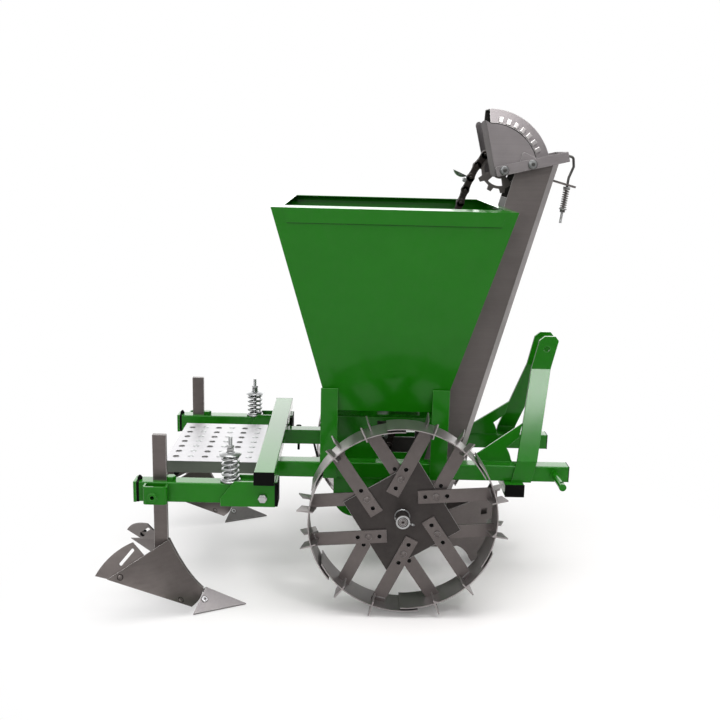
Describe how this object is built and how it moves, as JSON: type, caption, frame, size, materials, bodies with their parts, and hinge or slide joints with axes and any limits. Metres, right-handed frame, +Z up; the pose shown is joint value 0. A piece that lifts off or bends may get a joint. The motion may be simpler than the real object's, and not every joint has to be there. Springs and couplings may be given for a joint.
{
  "type": "potato planter",
  "caption": "Mounted one-row potato planter: tapered hopper, cup-chain elevator with furrow opener, lugged drive wheels, rear platform and sprung covering ridgers.",
  "frame": {"origin": "ground level under the middle of the machine's overall box", "axes": "+X is the direction of travel, toward the three-point hitch; +Y is the machine's left; +Z is up"},
  "size_m": [1.393, 1.0074, 1.477],
  "materials": {
    "green_paint": "gloss green paint",
    "grey_steel": "grey sheet steel, satin",
    "wheel_steel": "grey steel, satin with mill marks",
    "zinc_plate": "bright zinc plate",
    "perforated_zinc": "galvanised anti-slip sheet",
    "dark_chain": "oiled dark steel",
    "black_plastic": "moulded, slightly shiny"
  },
  "bodies": {
    "frame": {"main_tube_right": "green_paint", "main_tube_left": "green_paint", "rear_beam": "green_paint", "front_beam": "green_paint", "hitch_upright_right": "green_paint", "hitch_upright_left": "green_paint", "hitch_braces": "green_paint", "hopper_side_right": "green_paint", "hopper_side_left": "green_paint", "hopper_rear": "green_paint", "hopper_front": "green_paint", "hopper_funnel": "green_paint", "hopper_posts": "green_paint", "boot": "green_paint", "ridger_arm_right": "green_paint", "ridger_arm_left": "green_paint", "arm_brackets": "green_paint", "axle_hangers": "green_paint", "lower_link_pins": "green_paint", "shank_clamps": "green_paint", "duct_channel": "grey_steel", "duct_front": "grey_steel", "head_cheeks": "grey_steel", "head_cowl": "grey_steel", "tension_yoke": "grey_steel", "furrow_opener": "grey_steel", "shanks": "grey_steel", "ridger_shares": "grey_steel", "ridger_wings": "grey_steel", "wing_extensions": "grey_steel", "tension_tab": "grey_steel", "upper_sprocket": "grey_steel", "lower_sprocket": "grey_steel", "arm_springs": "zinc_plate", "spring_rods": "zinc_plate", "pivot_bolts": "zinc_plate", "tension_rod": "zinc_plate", "tension_spring": "zinc_plate", "chain_cups": "zinc_plate", "platform": "perforated_zinc", "end_caps": "black_plastic", "cup_chain": "dark_chain"},
    "wheels": {"wheel_rim_right": "wheel_steel", "wheel_rim_left": "wheel_steel", "wheel_hub_right": "wheel_steel", "wheel_hub_left": "wheel_steel", "wheel_spokes_right": "wheel_steel", "wheel_spokes_left": "wheel_steel", "wheel_axle": "wheel_steel"}
  },
  "joints": [
    {"name": "wheel_roll", "type": "hinge", "parent": "frame", "child": "wheels", "pos_m": [0.171, 0, 0.3015], "axis": [0, 1, 0], "continuous": true}
  ]
}
